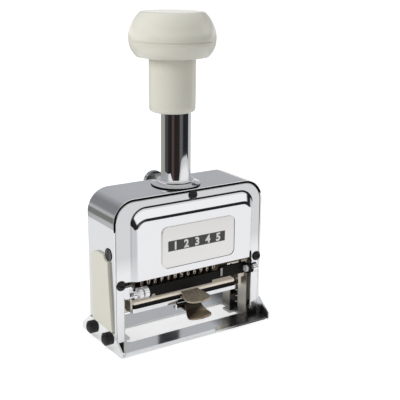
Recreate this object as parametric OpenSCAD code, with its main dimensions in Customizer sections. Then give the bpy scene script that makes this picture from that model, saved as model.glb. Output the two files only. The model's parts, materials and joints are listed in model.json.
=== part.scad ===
// Numbering machine: a desk stamp with twelve number wheels under a plunger.
// X runs along the wide face, the front faces -Y, Z is up, the base stands on Z = 0.

/* [Body] */
// width of the arch shell
body_w = 84.2; // [83.6:0.2:86]
// depth of the arch shell
body_d = 25.8; // [25.6:0.1:26.2]
// height of the flat top above the table
body_top = 73.6; // [71:0.1:78]
// outer radius of the two upper corners
corner_r = 11; // [8:0.5:12]
// sheet thickness of the shell
shell_t = 1; // [0.9:0.1:1.2]
// sheet thickness of the covers
cover_t = 1; // [0.8:0.1:1.1]
// height of the raised panel over its cover
panel_rise = 1.9; // [1.4:0.1:2]

/* [Base] */
// thickness of the base sheet
base_t = 1.2; // [1:0.1:1.3]
// half depth of the base plate
base_hy = 20.6; // [20:0.1:21]
// height of the side flanges
flange_h = 9.7; // [9:0.1:11]
// head diameter of the flange screws
base_screw_d = 6.4; // [5:0.1:6.6]

/* [Label] */
// width of the label plate
label_w = 41.2; // [34:0.2:44]
// height of the label plate
label_h = 20.3; // [16:0.1:22]
// thickness of the label plate
label_t = 0.6; // [0.4:0.1:0.8]

/* [Knob] */
// largest diameter of the cap
knob_d = 40.8; // [40:0.2:42]
// top of the cap above the table
knob_top = 155.2; // [153:0.2:157]
// underside of the cap above the table
knob_under = 134.9; // [134:0.1:135.4]
// diameter of the skirt
skirt_d = 22.1; // [20:0.1:24]
// lower end of the skirt above the table
skirt_low = 109.2; // [104:0.2:112]
// sideways offset of the plunger shaft
plunger_x = -1; // [-2:0.1:0]
// sideways offset of the knob on its shaft
knob_shift = -2; // [-2.2:0.1:0]

/* [Plunger] */
// diameter of the shaft
shaft_d = 14.4; // [14:0.1:15]
// radial gap between the shaft and its collar
shaft_fit = 0.06; // [0.04:0.01:0.1]
// diameter of the collar flange
collar_d = 24; // [22:0.2:25]
// travel of the plunger
stroke = 21; // [20:0.1:21]

/* [Wheels] */
// radius over the relief digits
wheel_r = 8.7; // [8.4:0.1:8.8]
// distance between neighbouring wheels
wheel_pitch = 3.75; // [3.7:0.01:3.76]
// gap between neighbouring wheels
wheel_gap = 0.32; // [0.3:0.01:0.5]
// height of the wheel axle above the table
axle_z = 30; // [29.9:0.1:30.3]
// diameter of the wheel axle
axle_d = 4; // [3.6:0.1:4.2]

/* [Ink carrier] */
// top of the felt above the table
felt_top = 20.8; // [20.4:0.1:20.8]
// length of the ink tray
tray_w = 61.9; // [61:0.1:62]
// travel of the ink tray when it is drawn out
tray_pull = 12; // [8:0.5:14]

/* [Lock] */
// diameter of the lock button
lock_d = 11.2; // [9:0.1:11.6]
// travel of the lock button
lock_travel = 3; // [2:0.1:3]

/* [Hidden] */
$fn = 64;
eps = 0.01;
half_w = body_w / 2;
front_y = -body_d / 2;
inner_x = half_w - shell_t;
seam = 0.2;
cover_x = inner_x - seam;
leg_in = 36.7;
leg_low = 4;
window_top = 33.7;
ear_low = 25.4;
ear_top = 31.2;
ear_left = -31.6;
ear_right = 36.1;
ear_right_end = 38.8;
knuckle_d = 5.2;
knuckle_left = -32.9;
ear_corner = 1.8;
panel_cx = 1.5;
panel_hw = 34.8;
panel_top = 68.5;
panel_side = 2.6;
panel_brow = 5.5;
panel_r = 8;
rear_panel_top = 59;
label_x = 2.9;
label_z = 47.7;
panel_y = front_y - panel_rise;
cover_screw_d = 5;
cover_screw_z = 32.7;
cover_screw_x = cover_x - 1.9;
cover_screw_shift = 0.6;
top_screw_z = 70.8;
screw_shank = 1.8;
side_screw_y = -8;
side_screw_z = 47.3;
base_screw_y = 8;
base_screw_shift = 0.9;
base_screw_z = 5;
flange_t = 0.85;
flange_tip = 3.2;
flange_x = half_w + flange_t;
win_x = 33;
tongue_x = 29.6;
win_y0 = -9.3;
win_y1 = 7.5;
guide_x = 35.5;
guide_t = 0.8;
guide_y0 = -10.6;
guide_y1 = 10.4;
guide_top = 60;
slot_hw = 3.7;
shoe_hw = 3.4;
rod_x = 38.9;
pivot_y = -13.2;
pivot_z = 27.1;
bar_y0 = -10.5;
bar_y1 = -9.3;
bar_x0 = -24.9;
bar_x1 = 35;
bar_z0 = 23.9;
bar_z1 = 28.1;
bar_end_z = 29.6;
bar_end_x = 18.1;
bar_step_z = 22.6;
lug_t = 1.2;
lug_d = 5.6;
pin_d = 2;
head_d = 3.4;
head_t = 1.4;
tray_y0 = -9.4;
tray_y1 = 6.6;
tray_x0 = -30.9;
tray_x1 = tray_x0 + tray_w;
tray_z = 15.6;
holder_z = 17.6;
felt_z = 18.6;
arm_t = 1;
arm_l = tray_x0 - 0.4;
arm_r = tray_x1 + 0.3;
rail_z = 14.4;
rail_y = -4.5;
arm_top = 26.9;
lap_y = -8.5;
wheel_w = wheel_pitch - wheel_gap;
wheel_x0 = -25.7;
stops = 12;
cheek_l = -29.2;
cheek_r = 25.8;
cheek_t = 1.2;
ratchet_r = 6.2;
pawl_y = 8.4;
pawl_z = 36.6;
pawl_rod_r = 0.9;
bridge_z = 42;
bridge_t = 4;
shaft_low = 44;
lock_x = -1;
lock_z = 70;
lock_y1 = 23;
tab_cx = 0.4;
tab_front = -22.2;
low_cx = 1.2;
low_front = -20.6;
tab_corner = 3;
tab_pin_y = -7.2;
tab_pin_z = 12.9;
leaf_t = 0.8;
knob_x = plunger_x + knob_shift;
knob_mid = knob_under + 8;
cap_low_r = 10.8;
cap_up_r = 16.2;
cap_edge_r = 1.5;
groove_rise = 7.2;
groove_t = 0.7;
lock_pin_d = 3.4;
lock_grip = 3.4;

// A solid standing on the XZ drawing plane: the drawing's y becomes Z, the depth runs +Y from y0.
module upright(y0, depth) {
  translate([0, y0 + depth, 0]) rotate([90, 0, 0]) linear_extrude(depth) children();
}

// A solid drawn in the YZ plane: the drawing's x becomes Y, the drawing's y becomes Z.
module sideways(x0, width) {
  translate([x0, 0, 0]) rotate([90, 0, 90]) linear_extrude(width) children();
}

// A rod along X from x0 to x1.
module rod_x_axis(x0, x1, y, z, d) {
  translate([x0, y, z]) rotate([0, 90, 0]) cylinder(d = d, h = x1 - x0);
}

// A flat arch: straight sides from z0, flat top at z1, two rounded upper corners.
module arch(hw, z0, z1, r) {
  translate([-hw, z0]) square([2 * hw, z1 - r - z0]);
  translate([-hw + r, z1 - r - eps]) square([2 * (hw - r), r + eps]);
  for (s = [-1, 1]) translate([s * (hw - r), z1 - r]) circle(r);
}

// A rectangle with four rounded corners.
module round_rect(x0, y0, w, h, r) {
  translate([x0 + r, y0]) square([w - 2 * r, h]);
  translate([x0, y0 + r]) square([w, h - 2 * r]);
  for (i = [r, w - r], j = [r, h - r]) translate([x0 + i, y0 + j]) circle(r);
}

// ---------- housing ----------

module screw_lugs() {
  lug_x = 36.4;
  lug_depth = 2.4;
  lug_half = 2.4;
  for (s = [-1, 1]) {
    x0 = s > 0 ? lug_x : -inner_x - eps;
    translate([x0, front_y + cover_t + 0.1, cover_screw_z - lug_half]) {
      cube([inner_x - lug_x + eps, lug_depth, 2 * lug_half]);
    }
  }
}

module screw_bores() {
  for (s = [-1, 1]) translate([s * cover_screw_x + cover_screw_shift, 0, cover_screw_z]) rotate([90, 0, 0]) {
    cylinder(d = screw_shank, h = body_d, center = true);
  }
  translate([cover_screw_shift, 0, top_screw_z]) rotate([90, 0, 0]) {
    cylinder(d = screw_shank, h = body_d, center = true);
  }
}

module base_bores(s) {
  for (y = [-base_screw_y, base_screw_y]) translate([s * half_w, y + base_screw_shift, base_screw_z]) {
    rotate([0, 90, 0]) cylinder(d = 2.6, h = 6, center = true);
  }
}

module shell() {
  color([0.86, 0.87, 0.88]) difference() {
    union() {
      difference() {
        upright(front_y, body_d) arch(half_w, base_t, body_top, corner_r);
        upright(front_y - 1, body_d + 2) arch(inner_x, base_t - 1, body_top - shell_t, corner_r - shell_t);
      }
      screw_lugs();
      mirror([0, 1, 0]) screw_lugs();
      translate([-3.6, front_y + cover_t + 0.1, 68.4]) cube([7.2, 2.4, body_top - shell_t - 68.4 + eps]);
    }
    screw_bores();
    translate([plunger_x, 0, body_top - 3]) cylinder(d = shaft_d + 1.6, h = 6);
    for (s = [-1, 1]) {
      translate([s * half_w, side_screw_y, side_screw_z]) rotate([0, 90, 0]) {
        cylinder(d = 3, h = 6, center = true);
      }
      translate([s * (half_w - 0.6), side_screw_y, side_screw_z]) rotate([0, s * 90, 0]) {
        cylinder(d = 6.3, h = 2);
      }
      base_bores(s);
    }
  }
}

// The raised panel as a solid frustum, open at the window; grow shrinks it for the hollow.
module panel_solid(top, cut) {
  x0 = panel_cx - panel_hw + cut;
  x1 = panel_cx + panel_hw - cut;
  hull() {
    translate([0, front_y + eps, 0]) rotate([90, 0, 0]) linear_extrude(eps) {
      for (x = [x0 + panel_r, x1 - panel_r]) translate([x, top - panel_r - cut]) circle(panel_r);
      translate([x0, window_top - 2]) square([x1 - x0, 2]);
    }
    translate([0, panel_y + cut + eps, 0]) rotate([90, 0, 0]) linear_extrude(eps) {
      for (x = [x0 + panel_side + panel_r - 3, x1 - panel_side - panel_r + 3]) {
        translate([x, top - panel_brow - cut - panel_r + 3]) circle(panel_r - 3);
      }
      translate([x0 + panel_side, window_top - 2]) square([x1 - x0 - 2 * panel_side, 2]);
    }
  }
}

module cover_sheet() {
  difference() {
    arch(cover_x, leg_low, body_top - shell_t - seam, corner_r - shell_t - seam);
    translate([-leg_in, 0]) square([2 * leg_in, window_top]);
  }
}

// The rolled ears that carry the hinge pins of the ink carrier.
module ears() {
  upright(front_y, cover_t) polygon([
    [-leg_in - eps, ear_low], [ear_left, ear_low], [ear_left, ear_top - ear_corner],
    [ear_left - ear_corner, ear_top], [-leg_in - eps, ear_top]
  ]);
  rod_x_axis(knuckle_left, ear_left, pivot_y, pivot_z, knuckle_d);
  rod_x_axis(ear_right, ear_right_end, pivot_y, pivot_z, knuckle_d);
}

module cover_body(top) {
  difference() {
    union() {
      upright(front_y, cover_t) cover_sheet();
      difference() {
        panel_solid(top, 0);
        translate([-half_w, front_y - 9, 0]) cube([body_w, 20, window_top]);
      }
    }
    panel_solid(top, 0.9);
    translate([panel_cx - panel_hw + 0.9, front_y - eps, window_top - 1]) {
      cube([2 * (panel_hw - 0.9), cover_t + 1, top - window_top - panel_r]);
    }
    screw_bores();
  }
}

module front_cover() {
  color([0.92, 0.92, 0.93]) difference() {
    union() {
      cover_body(panel_top);
      ears();
    }
    rod_x_axis(knuckle_left - 1, ear_left + 1, pivot_y, pivot_z, pin_d + 0.1);
    rod_x_axis(ear_right - 1, ear_right_end + 1, pivot_y, pivot_z, pin_d + 0.1);
  }
}

module rear_cover() {
  color([0.92, 0.92, 0.93]) difference() {
    mirror([0, 1, 0]) cover_body(rear_panel_top);
    translate([lock_x, 0, lock_z]) rotate([-90, 0, 0]) cylinder(d = lock_pin_d + 0.6, h = body_d);
  }
}

module label_plate() {
  color([0.78, 0.78, 0.79]) upright(panel_y - label_t, label_t) {
    round_rect(label_x - label_w / 2, label_z - label_h / 2, label_w, label_h, 3);
  }
}

module flange_outline() {
  polygon([
    [-base_hy, 0], [base_hy, 0], [base_hy, flange_tip],
    [12.2, flange_h], [-12.2, flange_h], [-base_hy, flange_tip]
  ]);
}

module window_outline() {
  tongue_y = -4.5;
  tongue_h = 6;
  difference() {
    round_rect(-win_x, win_y0, 2 * win_x, win_y1 - win_y0, 2);
    for (x = [-win_x - 1, tongue_x]) translate([x, tongue_y]) square([win_x - tongue_x + 1, tongue_h]);
  }
}

module base_plate() {
  color([0.84, 0.85, 0.86]) difference() {
    union() {
      linear_extrude(base_t) difference() {
        translate([-half_w, -base_hy]) square([body_w, 2 * base_hy]);
        window_outline();
      }
      for (s = [-1, 1]) sideways(s > 0 ? half_w : -flange_x, flange_t) flange_outline();
    }
    for (s = [-1, 1]) {
      for (y = [-base_hy + 3, base_hy - 3]) translate([s * (half_w - 0.45), y, 0]) {
        cube([0.9, 7, 8], center = true);
      }
      base_bores(s);
    }
    for (s = [-1, 1]) translate([s * rod_x, 0, -1]) cylinder(d = 1.8, h = 4);
  }
}

module side_cover() {
  rear_y = 8.1;
  low_z = flange_h + 0.2;
  color([0.84, 0.82, 0.76]) difference() {
    sideways(-half_w - 1.3, 1.3) polygon([
      [rear_y, low_z], [rear_y, 43.6], [rear_y - 0.7, 44.5], [rear_y - 2.3, 45.3], [3.4, 46.1], [0.4, 46.4],
      [-5.5, 46.4], [-7.9, 45.9], [-8.9, 44.6], [-9.5, 36], [-12, low_z]
    ]);
    rod_x_axis(-half_w - 4, -half_w + 1, side_screw_y, side_screw_z, 6.7);
  }
}

module shaft_collar() {
  color([0.9, 0.9, 0.91]) translate([plunger_x, 0, 0]) rotate_extrude() {
    bore = shaft_d / 2 + shaft_fit;
    polygon([
      [bore, body_top - 4], [bore + 0.7, body_top - 4], [bore + 0.7, body_top],
      [collar_d / 2, body_top], [collar_d / 2, body_top + 0.9],
      [collar_d / 2 - 1, body_top + 1.7], [collar_d / 2 - 2.6, body_top + 2.4],
      [bore + 0.8, body_top + 2.9], [bore, body_top + 2.9]
    ]);
  }
}

module guide_plate() {
  wide_top = 21.4;
  difference() {
    union() {
      sideways(guide_x, guide_t) {
        translate([guide_y0, base_t]) square([guide_y1 - guide_y0, wide_top - base_t]);
        translate([guide_y0, base_t]) square([9 - guide_y0, guide_top - base_t]);
      }
      translate([guide_x, -4, guide_top - guide_t]) cube([inner_x - guide_x - 0.3, 8, guide_t]);
      rod_x_axis(guide_x + guide_t - eps, inner_x, side_screw_y, side_screw_z, 5);
    }
    translate([guide_x - 1, -slot_hw, 0]) cube([3, 2 * slot_hw, 50]);
    translate([rod_x, 0, guide_top - 3]) cylinder(d = 1.8, h = 6);
    rod_x_axis(guide_x - 1, half_w, side_screw_y, side_screw_z, 3);
  }
}

module guide_plate_right() {
  color([0.72, 0.7, 0.66]) guide_plate();
}

module guide_plate_left() {
  color([0.72, 0.7, 0.66]) mirror([1, 0, 0]) guide_plate();
}

module spring_rods() {
  color([0.7, 0.7, 0.72]) for (s = [-1, 1]) translate([s * rod_x, 0, 0.3]) {
    cylinder(d = 1.8, h = guide_top + 0.4);
  }
}

// A domed screw standing on z = 0, its shank going down.
module dome_screw(d, rise, shank_d, shank_l) {
  dome_r = (d * d / 4 + rise * rise) / (2 * rise);
  difference() {
    union() {
      intersection() {
        translate([0, 0, rise - dome_r]) sphere(dome_r);
        cylinder(d = d, h = rise);
      }
      translate([0, 0, -shank_l]) cylinder(d = shank_d, h = shank_l + eps);
    }
    translate([-d, -0.3, rise - 0.6]) cube([2 * d, 0.6, 2]);
  }
}

module cover_screws() {
  color([0.08, 0.08, 0.08]) for (m = [0, 1]) mirror([0, m, 0]) {
    for (s = [-1, 1]) translate([s * cover_screw_x + cover_screw_shift, front_y, cover_screw_z]) {
      rotate([90, 0, 0]) dome_screw(cover_screw_d, 1.9, screw_shank, 3.6);
    }
    if (m == 0) translate([cover_screw_shift, front_y, top_screw_z]) {
      rotate([90, 0, 0]) dome_screw(cover_screw_d, 1.9, screw_shank, 3.4);
    }
  }
}

module side_screws() {
  color([0.12, 0.12, 0.12]) for (s = [-1, 1]) {
    translate([s * half_w, side_screw_y, side_screw_z]) rotate([0, s * 90, 0]) difference() {
      union() {
        translate([0, 0, -0.6]) cylinder(d = 6.2, h = 0.9);
        translate([0, 0, -6.5]) cylinder(d = 3, h = 6);
      }
      translate([-3.5, -0.35, -0.2]) cube([7, 0.7, 1]);
    }
  }
}

module base_screws() {
  color([0.08, 0.08, 0.08]) for (s = [-1, 1], y = [-base_screw_y, base_screw_y]) {
    translate([s * flange_x, y + base_screw_shift, base_screw_z]) rotate([0, s * 90, 0]) {
      cylinder(d = base_screw_d, h = 1.8);
      translate([0, 0, 1.8 - eps]) dome_screw(base_screw_d, 1.3, 2.6, 5.8);
    }
  }
}

module lock_housing() {
  color([0.8, 0.8, 0.82]) translate([lock_x, body_d / 2, lock_z]) rotate([-90, 0, 0]) difference() {
    cylinder(d = 7.4, h = 2.4);
    translate([0, 0, -1]) cylinder(d = lock_pin_d + 0.3, h = 5);
  }
}

// ---------- plunger ----------

module knob_cap() {
  r = knob_d / 2;
  up_x = r - cap_up_r;
  edge_z = knob_top - cap_edge_r;
  edge_x = up_x + sqrt(pow(cap_up_r - cap_edge_r, 2) - pow(edge_z - knob_mid, 2));
  meet_z = knob_mid + (edge_z - knob_mid) * cap_up_r / (cap_up_r - cap_edge_r);
  color([0.87, 0.86, 0.8]) difference() {
    translate([knob_x, 0, 0]) rotate_extrude($fn = 96) difference() {
      union() {
        intersection() {
          translate([0, knob_under]) square([r, knob_mid - knob_under]);
          translate([r - cap_low_r, knob_mid]) circle(cap_low_r);
        }
        translate([0, knob_under]) square([r - cap_low_r, knob_mid - knob_under]);
        intersection() {
          translate([0, knob_mid]) square([r, meet_z - knob_mid]);
          translate([up_x, knob_mid]) circle(cap_up_r);
        }
        translate([0, knob_mid]) square([edge_x, knob_top - knob_mid]);
        translate([edge_x, edge_z]) circle(cap_edge_r);
      }
      translate([r - groove_t, knob_under + groove_rise]) square([2, 0.5]);
    }
    translate([plunger_x, 0, knob_under - 1]) cylinder(d = shaft_d, h = 12);
  }
}

module knob_skirt() {
  r = skirt_d / 2;
  color([0.86, 0.85, 0.79]) difference() {
    translate([knob_x, 0, 0]) rotate_extrude($fn = 96) polygon([
      [0, skirt_low], [r - 2.1, skirt_low], [r - 0.6, skirt_low + 0.6],
      [r - 0.1, skirt_low + 1.8], [r, knob_under], [0, knob_under]
    ]);
    translate([plunger_x, 0, skirt_low - 1]) cylinder(d = shaft_d, h = knob_under - skirt_low + 2);
  }
}

module plunger_shaft() {
  color([0.9, 0.9, 0.91]) translate([plunger_x, 0, shaft_low]) difference() {
    cylinder(d = shaft_d, h = knob_under + 11 - shaft_low);
    translate([0, 0, -1]) cylinder(d = 5, h = 20);
  }
}

module bridge() {
  color([0.55, 0.55, 0.57]) difference() {
    union() {
      translate([-40.2, -shoe_hw, bridge_z]) cube([80.4, 2 * shoe_hw, bridge_t]);
      translate([cheek_l, -7, bridge_z]) cube([cheek_r - cheek_l, 14, bridge_t]);
      translate([plunger_x, 0, bridge_z]) cylinder(d = 18, h = 9);
    }
    translate([plunger_x, 0, shaft_low]) cylinder(d = shaft_d, h = 20);
    for (s = [-1, 1]) translate([s * rod_x, 0, bridge_z - 1]) cylinder(d = 2.5, h = 9);
  }
}

module cheeks() {
  color([0.5, 0.5, 0.52]) for (x = [cheek_l, cheek_r - cheek_t]) difference() {
    sideways(x, cheek_t) {
      translate([0, axle_z]) circle(7);
      translate([-7, axle_z]) square([14, bridge_z - axle_z]);
      translate([pawl_y, pawl_z]) circle(2.2);
    }
    rod_x_axis(x - 1, x + 3, 0, axle_z, axle_d);
    rod_x_axis(x - 1, x + 3, pawl_y, pawl_z, 2 * pawl_rod_r);
    rod_x_axis(x - 1, x + 3, -4.6, 40, 2);
  }
}

module wheel_axle() {
  color([0.75, 0.75, 0.77]) rod_x_axis(-36.2, 36.2, 0, axle_z, axle_d);
}

module axle_sleeves() {
  color([0.6, 0.6, 0.62]) for (x = [[-34.1, cheek_l - 0.2], [cheek_r + 0.2, 34.1]]) difference() {
    rod_x_axis(x[0], x[1], 0, axle_z, 7);
    rod_x_axis(x[0] - 1, x[1] + 1, 0, axle_z, axle_d);
  }
}

module tie_rod() {
  color([0.7, 0.7, 0.72]) rod_x_axis(cheek_l, cheek_r, -4.6, 40, 2);
}

module guide_shoes() {
  color([0.62, 0.6, 0.55]) for (m = [0, 1]) mirror([m, 0, 0]) difference() {
    union() {
      translate([guide_x - 1, -shoe_hw, axle_z - 5]) cube([2, 2 * shoe_hw, 10]);
      translate([guide_x - 1, -4.6, axle_z - 4.5]) cube([0.6, 9.2, 9]);
    }
    rod_x_axis(guide_x - 2, guide_x + 4, 0, axle_z, axle_d);
  }
}

module detent_comb() {
  comb_z = 40.6;
  tip_z = axle_z + wheel_r + 0.35;
  color([0.66, 0.66, 0.68]) {
    translate([wheel_x0 - 1.2, -1.5, comb_z]) cube([11 * wheel_pitch + 2.4, 3, bridge_z - comb_z]);
    for (i = [0 : 11]) translate([wheel_x0 + i * wheel_pitch - 1.2, -0.4, tip_z]) {
      cube([2.4, 0.8, comb_z - tip_z + eps]);
    }
  }
}

module pawl_rod() {
  color([0.7, 0.7, 0.72]) rod_x_axis(cheek_l, cheek_r, pawl_y, pawl_z, 2 * pawl_rod_r);
}

// A coil of round wire about a vertical axis, between z0 and z1.
module coil(x, z0, z1, turns, mean_r, wire_r) {
  steps = 12;
  rise = z1 - z0 - 2 * wire_r;
  translate([x, 0, z0 + wire_r]) for (i = [0 : turns * steps - 1]) hull() for (k = [i, i + 1]) {
    rotate([0, 0, k * 360 / steps]) translate([mean_r, 0, k * rise / (turns * steps)]) {
      sphere(wire_r, $fn = 6);
    }
  }
}

module return_spring_left() {
  color([0.6, 0.6, 0.62]) coil(-rod_x, base_t, bridge_z, 12, 1.7, 0.4);
}

module return_spring_right() {
  color([0.6, 0.6, 0.62]) coil(rod_x, base_t, bridge_z, 12, 1.7, 0.4);
}

// ---------- number wheels ----------

// One wheel with twelve stops: ten raised type blocks, two blanks and a ratchet ring on its left.
module number_wheel(index) {
  x = wheel_x0 + (index - 1) * wheel_pitch;
  ring_w = 1.1;
  rim_w = wheel_w - ring_w;
  rim_r = wheel_r - 0.8;
  block_top = wheel_r - 0.17;
  color([0.25, 0.2, 0.16]) difference() {
    union() {
      rod_x_axis(x - wheel_w / 2 + ring_w, x + wheel_w / 2, 0, axle_z, 2 * rim_r);
      rod_x_axis(x - wheel_w / 2, x - wheel_w / 2 + ring_w + 0.3, 0, axle_z, 2 * ratchet_r - 1);
      for (k = [0 : stops - 1]) translate([x, 0, axle_z]) rotate([k * 360 / stops, 0, 0]) {
        if (k < 4 || k > 5) translate([-wheel_w / 2 + ring_w + 0.2, -1.5, rim_r - 1.5]) {
          cube([rim_w - 0.4, 3, block_top - rim_r + 1.5]);
        }
        translate([-wheel_w / 2 + 0.1, -1.2, 4]) cube([ring_w, 1.6, ratchet_r - 4.2]);
      }
    }
    rod_x_axis(x - 3, x + 3, 0, axle_z, axle_d + 0.1);
  }
}

module wheel_01() {
  number_wheel(1);
}

module wheel_02() {
  number_wheel(2);
}

module wheel_03() {
  number_wheel(3);
}

module wheel_04() {
  number_wheel(4);
}

module wheel_05() {
  number_wheel(5);
}

module wheel_06() {
  number_wheel(6);
}

module wheel_07() {
  number_wheel(7);
}

module wheel_08() {
  number_wheel(8);
}

module wheel_09() {
  number_wheel(9);
}

module wheel_10() {
  number_wheel(10);
}

module wheel_11() {
  number_wheel(11);
}

module wheel_12() {
  number_wheel(12);
}

module repeat_dial() {
  color([0.7, 0.6, 0.35]) difference() {
    union() {
      rod_x_axis(20.6, 23.8, 0, axle_z, 15.4);
      for (k = [0 : 23]) translate([20.6, 0, axle_z]) rotate([k * 15, 0, 0]) {
        translate([0, -0.5, 7]) cube([3.2, 1, 1.2]);
      }
    }
    rod_x_axis(20, 24, 0, axle_z, axle_d + 0.1);
  }
}

module feed_pawl() {
  color([0.66, 0.66, 0.68]) difference() {
    union() {
      rod_x_axis(cheek_l + cheek_t + 0.35, cheek_r - cheek_t - 0.35, pawl_y, pawl_z, 3.2);
      for (i = [0 : 11]) {
        translate([wheel_x0 + i * wheel_pitch - wheel_w / 2 + 0.3, 0, 0]) sideways(0, 0.5) {
          polygon([
            [pawl_y - 0.9, pawl_z - 1.2], [pawl_y + 1.4, pawl_z - 0.7],
            [8.3, axle_z + 1.6], [6.9, axle_z + 1.2]
          ]);
        }
      }
    }
    rod_x_axis(cheek_l, cheek_r, pawl_y, pawl_z, 2 * pawl_rod_r + 0.1);
  }
}

// ---------- ink carrier ----------

// A lug of the bar around the hinge axis.
module bar_lug(x) {
  rod_x_axis(x, x + lug_t, pivot_y, pivot_z, lug_d);
  translate([x, pivot_y, pivot_z - lug_d / 2]) cube([lug_t, bar_y0 - pivot_y + eps, lug_d / 2]);
}

module carrier_bar() {
  color([0.05, 0.05, 0.05]) difference() {
    union() {
      upright(bar_y0, bar_y1 - bar_y0) {
        translate([bar_x0, bar_z0]) square([bar_x1 - bar_x0, bar_z1 - bar_z0]);
        translate([bar_end_x, bar_z0]) square([bar_x1 - bar_end_x, bar_end_z - bar_z0]);
        translate([-18.2, bar_step_z]) square([32.4, bar_z0 - bar_step_z + eps]);
      }
      bar_lug(bar_x0);
      bar_lug(bar_x1 - lug_t);
    }
    for (x = [bar_x0, bar_x1 - lug_t]) rod_x_axis(x - 1, x + 3, pivot_y, pivot_z, pin_d);
  }
}

module carrier_arms() {
  ledge_w = 3;
  ledge_t = 0.9;
  cap_low = 16.9;
  cap_top = 21.6;
  strip_x = 3.6;
  color([0.7, 0.7, 0.71]) {
    sideways(arm_l - arm_t, arm_t) polygon([
      [-10.3, cap_low + 1.8], [-9.8, cap_low + 0.5], [-8.6, cap_low], [rail_y, cap_low],
      [rail_y, rail_z], [tray_y1, rail_z], [tray_y1, cap_top], [bar_y1, cap_top],
      [bar_y1, arm_top], [-10, arm_top], [-10, cap_top], [-10.3, cap_top]
    ]);
    translate([arm_l - eps, rail_y, rail_z]) cube([ledge_w, tray_y1 - rail_y, ledge_t]);
    translate([arm_l - eps, -10, bar_z0 + 0.3]) {
      cube([bar_x0 - arm_l + 2 * eps, bar_y1 + 10, arm_top - bar_z0 - 0.3]);
    }
    sideways(arm_r, arm_t) polygon([
      [bar_y1, cap_low], [rail_y, cap_low], [rail_y, rail_z], [tray_y1, rail_z], [tray_y1, felt_z],
      [lap_y, felt_z], [lap_y, arm_top], [bar_y1, arm_top]
    ]);
    translate([arm_r - ledge_w, rail_y, rail_z]) cube([ledge_w + eps, tray_y1 - rail_y, ledge_t]);
    upright(bar_y1, lap_y - bar_y1) polygon([
      [arm_r, cap_low], [arm_r + 1.6, cap_low], [arm_r + 1.6, 21.4], [arm_r + strip_x, 21.4],
      [arm_r + strip_x, arm_top], [arm_r, arm_top]
    ]);
  }
}

// The slotted hinge nut at the left end of the bar, with its pin.
module pivot_collar() {
  x0 = bar_x0 - 5.1;
  color([0.88, 0.88, 0.89]) difference() {
    union() {
      rod_x_axis(x0, x0 + 1.9, pivot_y, pivot_z, 5.6);
      rod_x_axis(x0 + 1.9 - eps, x0 + 2.8, pivot_y, pivot_z, 3.6);
      rod_x_axis(x0 + 2.8 - eps, bar_x0, pivot_y, pivot_z, 5.6);
      rod_x_axis(x0 - 2.8, bar_x0 + lug_t + 0.6, pivot_y, pivot_z, pin_d);
    }
    translate([x0, pivot_y, pivot_z]) rotate([0, 90, 0]) difference() {
      cylinder(d = 4.4, h = 0.8, center = true);
      cylinder(d = pin_d + 0.8, h = 3, center = true);
    }
  }
}

// The slotted hinge screw at the right end of the bar.
module pivot_screw() {
  x1 = bar_x1 - lug_t;
  color([0.88, 0.88, 0.89]) difference() {
    union() {
      rod_x_axis(x1 - head_t, x1, pivot_y, pivot_z, head_d);
      rod_x_axis(x1 - eps, ear_right_end - 0.2, pivot_y, pivot_z, pin_d);
    }
    translate([x1 - head_t - 1, pivot_y - head_d, pivot_z - 0.3]) cube([1.5, 2 * head_d, 0.6]);
  }
}

module pointer() {
  color([0.8, 0.8, 0.8]) translate([18.9, bar_y0 - 0.5, 25.1]) cube([1.2, 0.5, 4.2]);
}

module ink_tray() {
  color([0.86, 0.87, 0.88]) {
    difference() {
      translate([0, 0, tray_z]) linear_extrude(holder_z - tray_z) {
        round_rect(tray_x0, tray_y0, tray_w, tray_y1 - tray_y0, 2.4);
      }
      translate([0, 0, tray_z + 0.8]) linear_extrude(4) {
        round_rect(tray_x0 + 0.8, tray_y0 + 0.8, tray_w - 1.6, tray_y1 - tray_y0 - 1.6, 1.8);
      }
    }
    for (x = [tab_cx - 6.4, tab_cx + 5.6]) difference() {
      translate([x, tab_pin_y - 1.3, tab_pin_z - 1.3]) cube([0.8, 2.6, tray_z - tab_pin_z + 1.3 + eps]);
      rod_x_axis(x - 1, x + 2, tab_pin_y, tab_pin_z, 1.2);
    }
  }
}

module felt_holder() {
  color([0.05, 0.05, 0.05]) difference() {
    translate([0, 0, tray_z + 0.8]) linear_extrude(felt_z - tray_z - 0.8) {
      round_rect(tray_x0 + 0.8, tray_y0 + 0.8, tray_w - 1.6, tray_y1 - tray_y0 - 1.6, 1.8);
    }
    translate([tab_cx - 4, tray_y0, holder_z + 0.1]) cube([8, 4.7, leaf_t]);
  }
}

module ink_felt() {
  color([0.86, 0.8, 0.68]) translate([0, 0, felt_z]) linear_extrude(felt_top - felt_z) {
    round_rect(tray_x0 + 1, tray_y0 + 0.9, tray_w - 2, tray_y1 - tray_y0 - 1.8, 1.6);
  }
}

// The outline of a finger leaf seen from above: a neck that widens to a blunt tip with round corners.
module leaf_outline(cx, neck_y, neck_hw, tip_hw, tip_y) {
  wide_y = tip_y + tab_corner;
  for (s = [-1, 1]) translate([cx + s * (tip_hw - tab_corner), wide_y]) circle(tab_corner);
  polygon([
    [cx - neck_hw, neck_y], [cx + neck_hw, neck_y], [cx + tip_hw, wide_y],
    [cx + tip_hw - tab_corner, tip_y], [cx - tip_hw + tab_corner, tip_y], [cx - tip_hw, wide_y]
  ]);
}

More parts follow.
